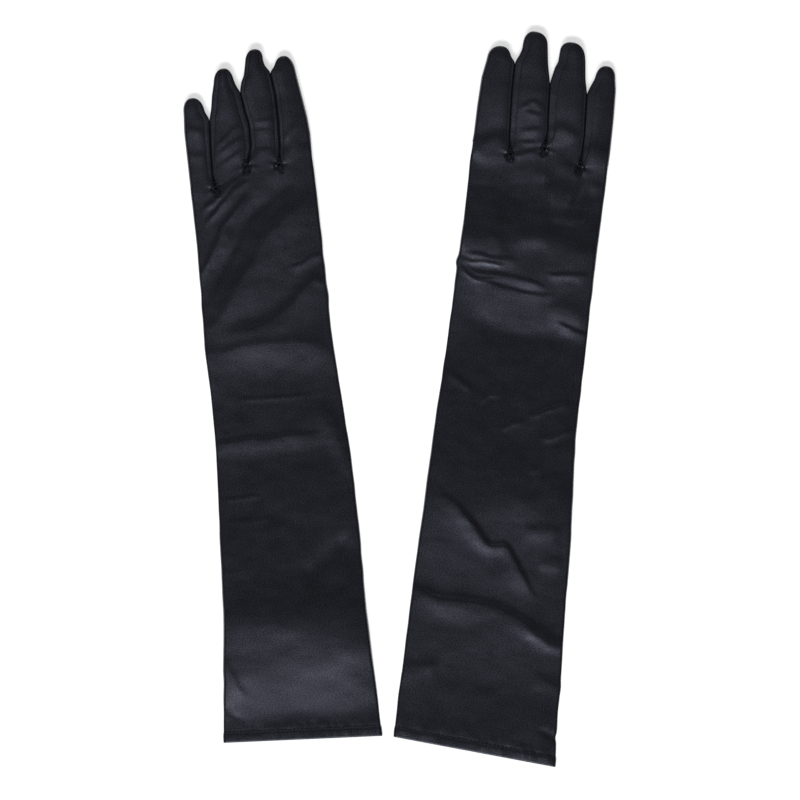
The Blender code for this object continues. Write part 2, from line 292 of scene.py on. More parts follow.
LEFT = Glove(
    name="left",
    side=1,
    cuff=(1.2, -0.043),
    edges=[(0, -59.5, 60.1), (30, -57.2, 59.4), (60, -54.8, 58.2), (95, -51.6, 57), (150, -49.4, 56.8),
           (180, -47.9, 56.4), (210, -46.6, 55.2), (240, -45.8, 53.4), (270, -46.2, 51.2),
           (300, -47.8, 48.8), (340, -47, 48.4), (380, -47, 47.6), (430, -48.1, 46.2)],
    profile=[(0, 3.4, 3.4), (10, 3.4, 3.3), (16, 2.6, 2.4), (60, 6.3, 6.9), (80, 7.5, 7.4),
             (95, 7.8, 7.0), (120, 6.0, 5.2), (150, 4.8, 4.4), (200, 3.0, 3.1), (217, 2.7, 2.8),
             (236, 2.7, 2.7), (275, 2.45, 2.4), (300, 3.4, 3.65), (330, 3.9, 4.0), (370, 5.2, 5.2),
             (420, 6.4, 6.4), (470, 7.2, 7.2)],
    base=[(-48.1, 425), (-28.8, 422), (-4.4, 437), (20.5, 436), (46, 440)],
    fingers=[
        Finger("little",
               Side([(425, -48.1), (467, -49.1), (478, -48.4), (493, -48)], outer=True),
               Side(LEFT_LITTLE_RING + [(481, -32.2), (493, -33.8)], (3.0, 4.5)),
               (-40.9, 492.3), 482),
        Finger("ring",
               Side(LEFT_LITTLE_RING + [(482, -27.2), (492, -25.8), (502, -23.4), (512, -22.5)], (0.0, 4.5)),
               Side(LEFT_RING_MIDDLE + [(498, -6.5), (503, -8.2), (513, -9)], (4.0, 5.0)),
               (-15.2, 512.6), 502),
        Finger("middle",
               Side(LEFT_RING_MIDDLE + [(501, -2.6), (505, -0.4), (515, 1.6), (525, 2.6)], (3.5, 3.0)),
               Side(LEFT_MIDDLE_INDEX + [(511, 16.7), (516, 15.2), (525, 16.5)], (3.6, 3.0)),
               (9.3, 525.1), 515),
        Finger("index",
               Side(LEFT_MIDDLE_INDEX + [(510, 23.2), (518, 23.6)], (2.6, 3.4)),
               Side([(440, 46), (457, 46.2), (470, 45.0), (483, 42.9), (501, 39.9), (518, 37.4)], outer=True),
               (31.1, 518.1), 507),
    ],
    folds=LEFT_FOLDS,
    split=210.0,
    knuckle=445.0,
    wrist=340.0,
    thumb=(34.0, 378.0),
    seed=3,
    pinches=[(1, 334.0, 0.5, 6.0)],
)

RIGHT = Glove(
    name="right",
    side=-1,
    cuff=(1.1, 0.081),
    edges=[(0, -61.2, 62.2), (30, -59.6, 62.2), (60, -59, 61.2), (95, -57.4, 60.5), (150, -56, 59.2),
           (180, -55, 57.9), (210, -52.9, 57.4), (240, -51.2, 56.4), (270, -51.1, 55),
           (300, -51.6, 53.6), (350, -51.8, 52.3), (400, -52.6, 50.4), (450, -53.8, 50.4)],
    profile=[(0, 3.6, 3.6), (12, 3.6, 3.6), (30, 3.1, 3.1), (55, 2.6, 2.7), (90, 3.4, 3.6),
             (120, 3.4, 3.4), (150, 4.2, 4.6), (192, 6.0, 6.4), (250, 4.1, 4.1), (300, 2.5, 2.5),
             (318, 2.5, 2.5), (350, 4.1, 4.4), (370, 5.3, 5.7), (392, 6.3, 6.6), (420, 4.6, 4.8),
             (445, 5.6, 5.6), (480, 6.5, 6.6)],
    base=[(-53.9, 452), (-32.7, 449), (-4.5, 461), (21, 454), (50, 460)],
    fingers=[
        Finger("little",
               Side([(452, -54.1), (462, -54.5), (488, -54.5), (510, -53.9), (519, -52.5), (529, -52)],
                    outer=True),
               Side(RIGHT_LITTLE_RING + [(513, -35), (518, -37.2), (529, -38.4)], (4.0, 5.5)),
               (-45, 528.2), 519),
        Finger("ring",
               Side(RIGHT_LITTLE_RING + [(516, -30.1), (530, -28.6), (544, -26)], (1.8, 2.4)),
               Side(RIGHT_RING_MIDDLE + [(523, -6), (527, -8), (535, -8.4), (544, -7.4)], (5.0, 6.0)),
               (-17, 543.4), 533),
        Finger("middle",
               Side(RIGHT_RING_MIDDLE + [(525, -0.6), (540, 1.3), (549, 1.4)], (1.6, 2.2)),
               Side(RIGHT_MIDDLE_INDEX + [(529, 21.9), (534, 20.2), (549, 19.5)], (3.6, 4.8)),
               (12.2, 548.6), 538),
        Finger("index",
               Side(RIGHT_MIDDLE_INDEX + [(527, 27.6), (535, 27.6)], (1.8, 2.4)),
               Side([(460, 50.4), (466, 49.9), (488, 49.6), (510, 48.6), (524, 46), (535, 46)], outer=True),
               (36, 535), 523),
    ],
    folds=RIGHT_FOLDS,
    split=215.0,
    knuckle=466.0,
    wrist=350.0,
    thumb=(37.0, 392.0),
    seed=11,
    pinches=[(1, 369.0, 1.3, 4.0), (-1, 17.0, -0.8, 3.0), (-1, 55.0, 0.5, 5.0)],
    crumple=0.34,
)
GLOVES = (LEFT, RIGHT)


# ---- where each glove lies ------------------------------------------------------------------
def joint(name):
    return next(j for j in frame["joints"] if j["name"] == name)


def find_place(glove):
    """The glove's plan in the row frame: the origin at its cuff and the directions of u and v."""
    elbow = Vector(joint(f"{glove.name}_elbow_fold")["pos_m"])
    wrist = Vector(joint(f"{glove.name}_wrist_fold")["pos_m"])
    along = (wrist - elbow).normalized()
    along.z = 0.0
    across = Vector((along.y, -along.x, 0.0)) * glove.side
    origin = elbow - along * ELBOW_FROM_CUFF * MM
    glove.places = {"origin": Vector((origin.x, origin.y, 0.0)), "u": across, "v": along}


def to_world(glove, points):
    """Points (n, 3) in the glove's plan, in mm, as points in the row frame, in metres."""
    place = glove.places
    axes = np.array([place["u"], place["v"], (0.0, 0.0, 1.0)])
    return np.array(place["origin"]) + (points * MM) @ axes


# ---- smooth lines ----------------------------------------------------------------------------
def smooth_line(points, spread, step=0.5):
    """A function of x through (x, y) points, softened over `spread` mm."""
    xs, ys = np.array(points, float).T
    fine = np.arange(xs[0] - 4 * spread, xs[-1] + 4 * spread, step)
    inner = np.interp(fine, xs, ys)
    start_slope = (ys[1] - ys[0]) / (xs[1] - xs[0])
    end_slope = (ys[-1] - ys[-2]) / (xs[-1] - xs[-2])
    inner = np.where(fine < xs[0], ys[0] + (fine - xs[0]) * start_slope, inner)
    inner = np.where(fine > xs[-1], ys[-1] + (fine - xs[-1]) * end_slope, inner)
    reach = np.arange(-3 * spread, 3 * spread + step, step)
    kernel = np.exp(-0.5 * (reach / spread) ** 2)
    padded = np.pad(inner, len(reach) // 2, mode="edge")
    soft = np.convolve(padded, kernel / kernel.sum(), mode="same")
    soft = soft[len(reach) // 2: len(reach) // 2 + len(fine)]
    return lambda x: np.interp(x, fine, soft)


def fade(x):
    x = np.clip(x, 0.0, 1.0)
    return x * x * (3.0 - 2.0 * x)


def dome(x):
    """The quarter ellipse from 0 at x = 0 to 1 at x = 1."""
    return np.sqrt(1.0 - (1.0 - np.clip(x, 0.0, 1.0)) ** 2)


def edge_crown(away):
    """The share of its height that the top cloth has near an edge: a tight fold, then a slow rise."""
    rise = np.clip(away / EDGE_RISE, 0.0, 1.0)
    return EDGE_LIP * dome(away / EDGE_REACH) + (1.0 - EDGE_LIP) * rise * (2.0 - rise)


def catmull(path, parts=10):
    """A smooth curve through the points of a path."""
    p = np.array(path, float)
    p = np.vstack([2 * p[0] - p[1], p, 2 * p[-1] - p[-2]])
    out = []
    for i in range(1, len(p) - 2):
        t = np.linspace(0.0, 1.0, parts, endpoint=False)[:, None]
        a, b, c, d = p[i - 1], p[i], p[i + 1], p[i + 2]
        out.append(0.5 * (2 * b + (c - a) * t + (2 * a - 5 * b + 4 * c - d) * t ** 2
                          + (3 * b - a - 3 * c + d) * t ** 3))
    return np.vstack(out + [p[-2][None, :]])


def cloth_noise(u, v, size_u, size_v, seed):
    """Smooth random heights, from -1 to 1, over cells of size_u by size_v mm."""
    rng = np.random.default_rng(seed)
    grid = rng.uniform(-1.0, 1.0, (256, 256))
    x, y = u / size_u + 101.3, v / size_v + 57.7
    i, j = np.floor(x).astype(int), np.floor(y).astype(int)
    s, t = fade(x - i), fade(y - j)
    i, j, right, up = i % 256, j % 256, (i + 1) % 256, (j + 1) % 256
    low = grid[i, j] * (1 - s) + grid[right, j] * s
    high = grid[i, up] * (1 - s) + grid[right, up] * s
    return low * (1 - t) + high * t


# ---- heights ---------------------------------------------------------------------------------
class Shape:
    """The heights of one glove over its plan."""

    def __init__(self, glove):
        self.glove = glove
        little = [(v, a) for v, a, _ in glove.edges]
        index = [(v, b) for v, _, b in glove.edges]
        self.little_line, self.index_line = smooth_line(little, 7.0), smooth_line(index, 7.0)
        self.little_height = smooth_line([(v, a) for v, a, _ in glove.profile], 6.0)
        self.index_height = smooth_line([(v, b) for v, _, b in glove.profile], 6.0)

    def little_edge(self, v):
        return self.little_line(v) - LITTLE_EDGE_OUT - self.wander(v, 50, -1)

    def index_edge(self, v):
        return self.index_line(v) + INDEX_EDGE_OUT + self.wander(v, 60, 1)

    def wander(self, v, seed, side):
        """How far the outline strays from its smooth line: an unevenness and the pinched folds."""
        total = WANDER * cloth_noise(0.0 * v, v, 10.0, 11.0, self.glove.seed + seed)
        for at_side, at_v, out, width in self.glove.pinches:
            if at_side == side:
                total += out * np.exp(-(((v - at_v) / width) ** 2))
        return total

    def cuff_line(self, u):
        base, slope = self.glove.cuff
        return base - CUFF_DROP + slope * u

    def over_thumb(self, u, v):
        """1 over the tucked thumb and over the way it swings out, 0 away from them."""
        pu, pv = u - self.glove.thumb[0], v - self.glove.thumb[1]
        away = np.full_like(pu, 1e3)
        for swing in THUMB_SWINGS:
            turn = math.radians(THUMB_TURN - swing)
            along = np.array([math.cos(turn), math.sin(turn)]) * THUMB_LENGTH
            t = np.clip((pu * along[0] + pv * along[1]) / (along @ along), 0.0, 0.9)
            away = np.minimum(away, np.hypot(pu - t * along[0], pv - t * along[1]))
        return 1.0 - fade((away - THUMB_CLEAR) / THUMB_CLEAR_RUN)

    def lift(self, v):
        """How far the fingers rise off the table towards their tips."""
        along = (v - self.glove.knuckle + LIFT_BEFORE_KNUCKLE) / LIFT_RUN
        return TIP_LIFT * 0.5 * (along + np.sqrt(along ** 2 + LIFT_SOFTNESS))

    def edge_z(self, u, v):
        """The height at which the top and the underside meet along the outline."""
        hand = fade((v - self.glove.wrist + 10.0) / 50.0)
        level = SLEEVE_EDGE_Z + (HAND_EDGE_Z - SLEEVE_EDGE_Z) * hand + 1.9 * self.over_thumb(u, v)
        return level + self.lift(v)

    def drift(self, u, v):
        """Points moved a little, so that the folds wander as they do in real cloth."""
        seed = self.glove.seed + 30
        across = 1.6 * cloth_noise(u, v, 17.0, 13.0, seed) + 0.5 * cloth_noise(u, v, 6.0, 5.0, seed + 1)
        along = 1.5 * cloth_noise(u, v, 14.0, 16.0, seed + 2) + 0.4 * cloth_noise(u, v, 5.0, 6.0, seed + 3)
        return u + across, v + along

    def folds(self, u, v):
        """The sum of the glove's folds at each point."""
        total = np.zeros_like(u)
        u, v = self.drift(u, v)
        for fold in self.glove.folds:
            curve = catmull(fold.path)
            reach = 3.2 * max(fold.above, fold.below)
            near = ((u > curve[:, 0].min() - reach) & (u < curve[:, 0].max() + reach)
                    & (v > curve[:, 1].min() - reach) & (v < curve[:, 1].max() + reach))
            if not near.any():
                continue
            p = np.stack([u[near], v[near]], -1)
            a, b = curve[:-1], curve[1:]
            d = b - a
            length = np.hypot(*d.T)
            rel = p[:, None, :] - a[None]
            t = (rel * d).sum(-1) / (length ** 2)
            t_in = np.clip(t, 0.0, 1.0)
            off = rel - t_in[..., None] * d
            far = np.hypot(off[..., 0], off[..., 1])
            best = far.argmin(1)
            rows = np.arange(len(p))
            normal = np.stack([-d[:, 1], d[:, 0]], -1) / length[:, None]
            normal *= np.sign(normal[:, 1:2] + 1e-9)
            side = (rel[rows, best] * normal[best]).sum(-1)
            start = np.concatenate([[0.0], np.cumsum(length)])
            place = start[best] + t_in[rows, best] * length[best]
            run = max(8.0, 0.3 * start[-1])
            taper = fade(place / run + 0.15) * fade((start[-1] - place) / run + 0.15)
            width = np.where(side > 0, fold.above, fold.below)
            total[near] += FOLD_DEPTH * fold.height * np.exp(-((far[rows, best] / width) ** 2)) * taper
        return total

    def ripples(self, u, v):
        """The small unevenness of soft cloth, longer across the glove than along it."""
        seed = self.glove.seed
        slow = SLOW_RIPPLE * cloth_noise(u, v, 34.0, 21.0, seed)
        from_middle = v - self.glove.knuckle + CRUMPLE_BEFORE_KNUCKLE
        back_of_hand = np.exp(-((from_middle / CRUMPLE_RUN) ** 2))
        size = MIDDLE_RIPPLE + self.glove.crumple * back_of_hand
        middle = size * cloth_noise(u, v, 15.0, 10.0, seed + 1)
        quick = QUICK_RIPPLE * cloth_noise(u, v, 6.0, 3.5, seed + 2)
        return slow + middle + quick

    def hem_puckers(self, u, v):
        """Short gathers across the hem's stitching, which lies in a groove."""
        from_cuff = v - self.cuff_line(u)
        gathers = cloth_noise(u, v, 2.6, 9.0, self.glove.seed + 5)
        near = np.exp(-(((from_cuff - HEM_DEPTH) / 5.0) ** 2))
        groove = np.exp(-(((from_cuff - HEM_DEPTH) / 1.1) ** 2))
        in_hem = fade((HEM_DEPTH - from_cuff) / 2.0)
        return (0.2 + 0.12 * in_hem) * gathers * near - 0.08 * groove

    def crotch_gathers(self, u, v):
        """The little knot of gathered cloth at each crotch."""
        total = np.zeros_like(u)
        for k, (cu, cv) in enumerate(self.glove.base[1:-1]):
            du, dv = u - cu, v - cv
            r = np.hypot(du, dv)
            angle = np.arctan2(dv, du)
            total += 0.22 * np.cos(5.0 * angle + 1.7 * k) * fade(r / 4.0) * np.exp(-((r / 6.0) ** 2))
        return total

    def open_height(self, u, v):
        """The height of the top cloth away from edges and crotches."""
        little, index = self.little_edge(v), self.index_edge(v)
        share = np.clip((u - little) / (index - little), 0.0, 1.0)
        base = self.little_height(v) * (1 - share) + self.index_height(v) * share
        return (base + self.folds(u, v) + self.ripples(u, v) + self.hem_puckers(u, v)
                + self.crotch_gathers(u, v) + 0.15 * self.over_thumb(u, v) + self.lift(v))

    def underside(self, u, v):
        """The height of the under cloth away from the edges."""
        from_cuff = v - self.cuff_line(u)
        hem = 0.55 * (1.0 - fade((from_cuff - 10.0) / 12.0))
        seed = self.glove.seed + 7
        soft = 0.12 * (1.0 + cloth_noise(u, v, 18.0, 11.0, seed))
        return UNDERSIDE_Z + hem + soft + THUMB_LIFT * self.over_thumb(u, v) + self.lift(v)

    def crotch_dip(self, u, v):
        """0 at a crotch, 1 away from it."""
        dip = np.ones_like(u)
        for cu, cv in self.glove.base[1:-1]:
            r = np.hypot(u - cu, 0.65 * (v - cv))
            dip *= dome(r / CROTCH_REACH)
        return dip

    def trunk(self, u, v, face):
        little, index = self.little_edge(v), self.index_edge(v)
        inside = np.minimum(u - little, index - u)
        edge_z = self.edge_z(u, v)
        under = self.underside(u, v)
        if face == UNDER:
            crown = dome(inside / 3.0) * self.crotch_dip(u, v)
            return edge_z - (edge_z - np.minimum(under, edge_z)) * crown
        top = np.maximum(self.open_height(u, v), np.maximum(under + LEAST_CLOTH, edge_z + LEAST_RISE))
        return edge_z + (top - edge_z) * edge_crown(inside) * self.crotch_dip(u, v)


# ---- grids of points -------------------------------------------------------------------------
@dataclass
class Patch:
    """A grid of points: their places and cloth coordinates, and each face's piece and material."""

    points: np.ndarray
    cloth: np.ndarray
    piece: list
    material: np.ndarray
    face: int


def side_steps(strip):
    """Distances from a finger's side at which its columns lie, given the strip's width there."""
    ratio = np.array([0.0, 0.05, 0.17, 0.5, 0.86, 1.0])
    beyond = np.array([0.45, 1.0, 1.9])
    return np.concatenate([ratio[None, :] * strip[:, None], strip[:, None] + beyond[None, :]], 1)


def strip_shows(strip):
    """From 0 where a side's strip is no wider than a plain fold to 1 where it shows as a strip."""
    return np.clip((strip - LEAST_STRIP) / 1.2, 0.0, 1.0)


class FingerGrid:
    """The rows and columns of one finger's two faces."""

    def __init__(self, glove, shape, k):
        finger = glove.fingers[k]
        self.glove, self.shape, self.finger, self.k = glove, shape, finger, k
        low_v, high_v = glove.base[k][1], glove.base[k + 1][1]
        tip_u, tip_v = finger.tip
        mean = 0.5 * (low_v + high_v)
        straight = finger.round_from - mean
        total = tip_v - mean
        rows = np.arange(0.0, straight, ROW_STEP)
        bend = straight + (total - straight) * np.sin(np.linspace(0.0, math.pi / 2, 14))
        level = np.concatenate([rows, bend]) / total
        self.low_v = low_v + (tip_v - low_v) * level
        self.high_v = high_v + (tip_v - high_v) * level
        self.low_u = self.side_u(finger.little_side, self.low_v) - FINGER_OVERLAP
        self.high_u = self.side_u(finger.index_side, self.high_v) + FINGER_OVERLAP
        self.low_u[0], self.high_u[0] = glove.base[k][0], glove.base[k + 1][0]
        self.low_u[-1] = self.high_u[-1] = tip_u
        self.width = np.hypot(self.high_u - self.low_u, self.high_v - self.low_v)
        self.low_strip = self.strip_width(finger.little_side, self.low_v, low_v)
        self.high_strip = self.strip_width(finger.index_side, self.high_v, high_v)
        wanted = (self.low_strip + self.high_strip + 3.8) * 1.3
        self.squeeze = np.minimum(1.0, self.width / wanted)

    def side_u(self, side, v):
        """The side's u at each v, rounded in towards the tip."""
        tip_u, tip_v = self.finger.tip
        u = smooth_line(side.line, 1.2)(v)
        rise = np.clip((v - self.finger.round_from) / (tip_v - self.finger.round_from), 0.0, 1.0)
        return tip_u + (u - tip_u) * np.sqrt(1.0 - rise ** 2.5)

    def strip_width(self, side, v, start):
        """The width of the side's shown strip, or of its plain rounded side."""
        if side.outer:
            return PLAIN_SIDE + 0.0 * v
        low, high = side.strip
        along = np.clip((v - start) / 50.0, 0.0, 1.0)
        width = np.maximum(low + (high - low) * along, LEAST_STRIP)
        return LEAST_STRIP + (width - LEAST_STRIP) * fade((v - start) / CROTCH_RUN)

    def columns(self, face):
        """Distances from the little side, (rows, columns)."""
        low = side_steps(self.low_strip) * self.squeeze[:, None]
        high = side_steps(self.high_strip) * self.squeeze[:, None]
        share = np.linspace(0.0, 1.0, MIDDLE_COLUMNS + 1)[None, 1:-1]
        start, end = low[:, -1:], self.width[:, None] - high[:, -1:]
        middle = start + (end - start) * share
        every = np.concatenate([low, middle, self.width[:, None] - high[:, ::-1]], 1)
        if face == TOP:
            return every
        count = every.shape[1]
        keep = [0, 1, 2, 4] + list(range(6, count - 6, 2)) + [count - 5, count - 3, count - 2, count - 1]
        return every[:, keep]

    def plan(self, face):
        """(u, v, distance from the little side, distance from the index side)."""
        along = self.columns(face)
        share = along / np.maximum(self.width[:, None], 1e-6)
        share[self.width < 1e-6] = 0.5
        u = self.low_u[:, None] + (self.high_u - self.low_u)[:, None] * share
        v = self.low_v[:, None] + (self.high_v - self.low_v)[:, None] * share
        return u, v, along, self.width[:, None] - along

    def side_crown(self, away, side, strip, v, start):
        """How far the cloth has risen at a distance from one side."""
        squeeze = self.squeeze[:, None]
        opening = fade((v - start) / CROTCH_RUN)
        if side.outer:
            return edge_crown(away / np.maximum(squeeze, 0.05))
        base = dome(away / (CROTCH_REACH * squeeze + 1e-6))
        panel = np.clip(away / (8.0 * squeeze + 1e-6), 0.0, 1.0)
        full = 0.88 * dome(away / SIDE_FOLD) + 0.12 * panel * (2.0 - panel)
        strip = strip[:, None] * squeeze
        rise = np.clip(away / np.maximum(strip, 1e-6), 0.0, 1.0)
        slope = 0.88 * dome(away / SIDE_FOLD) + 0.03 * rise
        lap = 0.03 * fade((away - strip) / 0.7) + 0.06 * fade((away - strip) / (5.0 * squeeze + 1e-6))
        shown = strip_shows(strip)
        return base * (1 - opening) + (full * (1 - shown) + (slope + lap) * shown) * opening

    def seam_groove(self, away, side, strip):
        if side.outer:
            return 0.0
        strip = strip[:, None] * self.squeeze[:, None]
        shown = strip_shows(strip)
        return SEAM_GROOVE * shown * np.exp(-(((away - strip) / GROOVE_WIDTH) ** 2))

    def heights(self, face):
        u, v, low, high = self.plan(face)
        shape, finger = self.shape, self.finger
        start_low, start_high = self.glove.base[self.k][1], self.glove.base[self.k + 1][1]
        edge_z = shape.edge_z(u, v)
        to_tip = np.maximum(finger.tip[1] - v, 0.0)
        tip = 0.86 * dome(to_tip / 1.4) + 0.14 * dome(to_tip / 9.0)
        if face == UNDER:
            under = shape.underside(u, v)
            reach = 3.0 * self.squeeze[:, None]
            crown = dome(low / np.maximum(reach, 1e-6)) * dome(high / np.maximum(reach, 1e-6))
            return u, v, edge_z - (edge_z - np.minimum(under, edge_z)) * crown * tip
        arch = 0.3 * (1.0 - (2.0 * low / np.maximum(self.width[:, None], 1e-6) - 1.0) ** 2)
        opening = fade((v - 0.5 * (start_low + start_high)) / 20.0)
        top = np.maximum(shape.open_height(u, v) + arch * opening, edge_z + LEAST_RISE)
        height = top - edge_z
        crown = (self.side_crown(low, finger.little_side, self.low_strip, v, start_low)
                 * self.side_crown(high, finger.index_side, self.high_strip, v, start_high))
        z = edge_z + height * crown * tip
        shown = fade((to_tip - 2.0) / 7.0)
        z -= self.seam_groove(low, finger.little_side, self.low_strip) * shown
        z -= self.seam_groove(high, finger.index_side, self.high_strip) * shown
        return u, v, np.maximum(z, edge_z * 0.98)

    def patch(self, face):
        u, v, z = self.heights(face)
        rows, columns = u.shape
        material = np.zeros((rows - 1, columns - 1), int)
        if face == TOP:
            for side, columns_in in ((self.finger.little_side, slice(0, 5)),
                                     (self.finger.index_side, slice(-5, None))):
                if not side.outer:
                    material[:, columns_in] = STRIP_MATERIAL
        piece = [[f"{self.glove.name}_{self.finger.name}_finger"] * (columns - 1)] * (rows - 1)
        return Patch(np.stack([u, v, z], -1), np.stack([u, v], -1), piece, material, face)

    def base_row(self, face):
        u, v, _, _ = self.plan(face)
        return u[0], v[0]


def even_columns(low, high, count):
    """Columns across the arm, closer together at its rounded edges."""
    side = np.array(SIDE_STEPS)
    middle = np.linspace(side[-1] + 1.0, (high - low) - side[-1] - 1.0, count - 2 * len(side))
    return np.concatenate([side, middle, (high - low) - side[::-1]]) / (high - low)


CUFF_WIDENING = 1.25            # the cuff's columns, compared with those at the fingers
MATCH_START, MATCH_RUN = 75.0, 68.0     # before the fingers, the columns become the fingers' own
BASE_START, BASE_RUN = 16.0, 15.0       # and the outline runs into the fingers' bases


def trunk_patch(glove, shape, grids, face):
    """The arm and hand, from the hem to the line through the crotches."""
    base_u, base_v = [], []
    for k, grid in enumerate(grids):
        u, v = grid.base_row(face)
        keep = slice(0, None) if k == 0 else slice(1, None)
        base_u.append(u[keep])
        base_v.append(v[keep])
    base_u, base_v = np.concatenate(base_u), np.concatenate(base_v)
    low, high = base_u[0], base_u[-1]
    matched = (base_u - low) / (high - low)
    even = even_columns(low, high, len(matched))
    length = base_v.mean()
    count = int(length / ROW_STEP)
    t = np.linspace(0.0, 1.0, count)[:, None]
    mix = fade((t * length - (length - MATCH_START)) / MATCH_RUN)
    s = even[None, :] * (1 - mix) + matched[None, :] * mix
    start_u = low + (high - low) * s
    first = shape.cuff_line(start_u * CUFF_WIDENING) + HEM_DEPTH - TUCK_UNDER_HEM
    v = first + (base_v[None, :] - first) * t
    u = shape.little_edge(v) + (shape.index_edge(v) - shape.little_edge(v)) * s
    ends = fade((t * length - (length - BASE_START)) / BASE_RUN)
    u = u * (1 - ends) + (base_u[None, :] + (u - u[-1:, :])) * ends
    z = shape.trunk(u, v, face)
    tuck = fade((v - shape.cuff_line(u) - HEM_DEPTH + TUCK_UNDER_HEM) / TUCK_RUN)
    z -= (0.5 if face == TOP else -0.3) * (1.0 - tuck)
    rows, columns = u.shape
    split_row = int(np.argmin(np.abs(v[:, columns // 2] - glove.split)))
    piece = [[f"{glove.name}_{'upper_arm' if i < split_row else 'forearm_and_hand'}"] * (columns - 1)
             for i in range(rows - 1)]
    material = np.zeros((rows - 1, columns - 1), int)
    return Patch(np.stack([u, v, z], -1), np.stack([u, v], -1), piece, material, face)


# ---- from grids to pieces --------------------------------------------------------------------
def add_object(name, points, faces, cloth=None):
    """A smooth mesh object. `cloth` has the cloth coordinates, in mm, of every face corner."""
    mesh = bpy.data.meshes.new(name)
    mesh.from_pydata([tuple(p) for p in points], [], faces)
    if cloth is not None:
        layer = mesh.uv_layers.new(name="cloth")
        layer.data.foreach_set("uv", (cloth * UV_PER_MM).astype(np.float32).ravel())
    mesh.polygons.foreach_set("use_smooth", np.ones(len(faces), bool))
    mesh.update()
    made = bpy.data.objects.new(name, mesh)
    bpy.context.scene.collection.objects.link(made)
    return made


def tube_faces(rings, columns, closed, flip, first=0):
    """The quads of a tube of rings, numbered from `first`; closed, its last ring meets its first."""
    faces = []
    for i in range(rings if closed else rings - 1):
        for j in range(columns):
            here, ahead = first + i * columns, first + (i + 1) % rings * columns
            beside = (j + 1) % columns
            quad = [here + j, here + beside, ahead + beside, ahead + j]
            faces.append(quad[::-1] if flip else quad)
    return faces


def grid_faces(rows, columns, first, flip):
    i, j = np.meshgrid(np.arange(rows - 1), np.arange(columns - 1), indexing="ij")
    a = first + i * columns + j
    quad = np.stack([a, a + 1, a + columns + 1, a + columns], -1).reshape(-1, 4)
    return quad[:, ::-1] if flip else quad


def weld(points):
    """The index of each point's first twin, so that patches share the points where they meet."""
    keys = np.round(points * 2000.0).astype(np.int64)
    _, first, inverse = np.unique(keys, axis=0, return_index=True, return_inverse=True)
    return first[inverse.reshape(-1)]


def build_skin(glove, patches):
    """Makes one mesh object for each piece named in the patches. Returns {name: object}."""
    points, cloth, quads, names, materials = [], [], [], [], []
    first = 0
    for patch in patches:
        rows, columns = patch.points.shape[:2]
        points.append(patch.points.reshape(-1, 3))
        cloth.append(patch.cloth.reshape(-1, 2) + (0.0, 1000.0 * patch.face))
        flip = (patch.face == UNDER) != (glove.side < 0)
        quads.append(grid_faces(rows, columns, first, flip))
        names.append(np.array(patch.piece).reshape(-1))
        materials.append(patch.material.reshape(-1))
        first += rows * columns
    points, cloth = np.concatenate(points), np.concatenate(cloth)
    quads, names, materials = np.concatenate(quads), np.concatenate(names), np.concatenate(materials)
    same = weld(points)
    world = to_world(glove, points)
    welded = same[quads]
    normals = vertex_normals(world, welded)
    made = {}
    for name in sorted(set(names)):
        chosen = names == name
        made[name] = mesh_from_quads(name, world, cloth, quads[chosen], welded[chosen], normals,
                                     materials[chosen])
    return made


def vertex_normals(world, quads):
    a, b, c, d = (world[quads[:, i]] for i in range(4))
    face = np.cross(c - a, d - b)
    normals = np.zeros_like(world)
    for i in range(4):
        np.add.at(normals, quads[:, i], face)
    length = np.linalg.norm(normals, axis=1)
    normals[length < 1e-20] = (0.0, 0.0, 1.0)
    return normals / np.maximum(np.linalg.norm(normals, axis=1), 1e-20)[:, None]


def mesh_from_quads(name, world, cloth, quads, welded, normals, materials):
    """A mesh of quads (and of triangles, where a quad has two equal corners)."""
    used, local = np.unique(welded, return_inverse=True)
    local = local.reshape(welded.shape)
    faces, corners, face_material = [], [], []
    for at in range(len(local)):
        ids, source = [], []
        for k in range(4):
            vertex = local[at, k]
            if vertex not in ids:
                ids.append(vertex)
                source.append(quads[at, k])
        if len(ids) > 2:
            faces.append(ids)
            corners.extend(source)
            face_material.append(materials[at])
    made = add_object(name, world[used].tolist(), [[int(i) for i in f] for f in faces],
                      cloth[np.array(corners)])
    made.data.polygons.foreach_set("material_index", np.array(face_material, np.int32))
    made.data.update()
    made.data.normals_split_custom_set_from_vertices(normals[used].tolist())
    return made


# ---- the hem ---------------------------------------------------------------------------------
def ring_plan(glove, shape, from_cuff, count=110):
    """The glove's closed outline a little way in from the cuff: (u, v, z, outward, gap)."""
    low, high = shape.little_edge(0.0), shape.index_edge(0.0)
    s = even_columns(low, high, count)
    s = np.concatenate([s, s[-2:0:-1]])
    is_top = np.arange(len(s)) < count
    guess = low + (high - low) * s
    v = shape.cuff_line(guess) + from_cuff
    u = shape.little_edge(v) + (shape.index_edge(v) - shape.little_edge(v)) * s
    z = np.where(is_top, shape.trunk(u, v, TOP), shape.trunk(u, v, UNDER))
    ahead, behind = np.roll(np.arange(len(s)), -1), np.roll(np.arange(len(s)), 1)
    tangent = np.stack([u[ahead] - u[behind], z[ahead] - z[behind]], -1)
    tangent /= np.linalg.norm(tangent, axis=1)[:, None]
    outward = np.stack([-tangent[:, 1], tangent[:, 0]], -1)
    gap = shape.trunk(u, v, TOP) - shape.trunk(u, v, UNDER)
    return u, v, z, outward, gap


def tube_object(glove, name, points, closed, cloth):
    """A tube of rings: points (rings, columns, 3) in the plan, closed round the columns."""
    rings, columns = points.shape[:2]
    faces = tube_faces(rings, columns, closed, flip=glove.side > 0)
    corners = np.array(faces).ravel()
    world = to_world(glove, points.reshape(-1, 3)).tolist()
    return add_object(name, world, faces, cloth.reshape(-1, 2)[corners])


